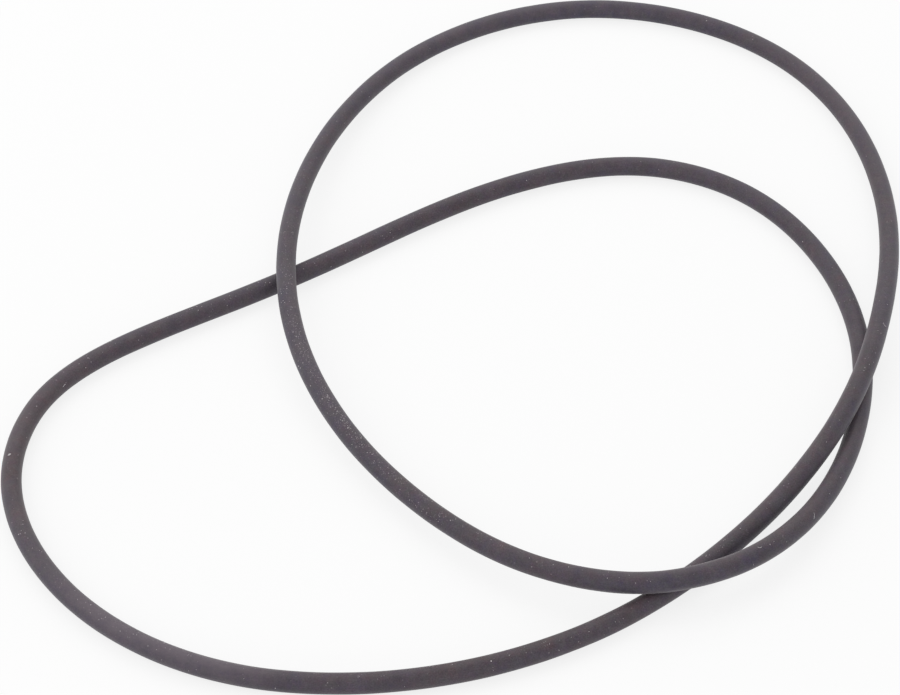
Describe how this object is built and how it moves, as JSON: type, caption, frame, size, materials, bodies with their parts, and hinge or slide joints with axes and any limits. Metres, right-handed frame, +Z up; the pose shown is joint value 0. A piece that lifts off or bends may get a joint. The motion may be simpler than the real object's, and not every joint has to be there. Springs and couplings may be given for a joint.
{
  "type": "o-ring",
  "caption": "Large endless rubber o-ring of round section with a fine mould line, lying loosely doubled over itself on a flat surface.",
  "frame": {"origin": "on the floor, under the middle of the box that the ring fills as it lies", "axes": "+Z up from the floor; +Y along the longer side of the lying ring, away from the camera; +X to the right, with the wide loop at the left and nearest"},
  "size_m": [0.2243, 0.2466, 0.0105],
  "materials": {
    "rubber": "matte, as moulded, charcoal with a faint brown cast and a little pale dust"
  },
  "bodies": {
    "root": {"o_ring": "rubber"}
  },
  "joints": []
}
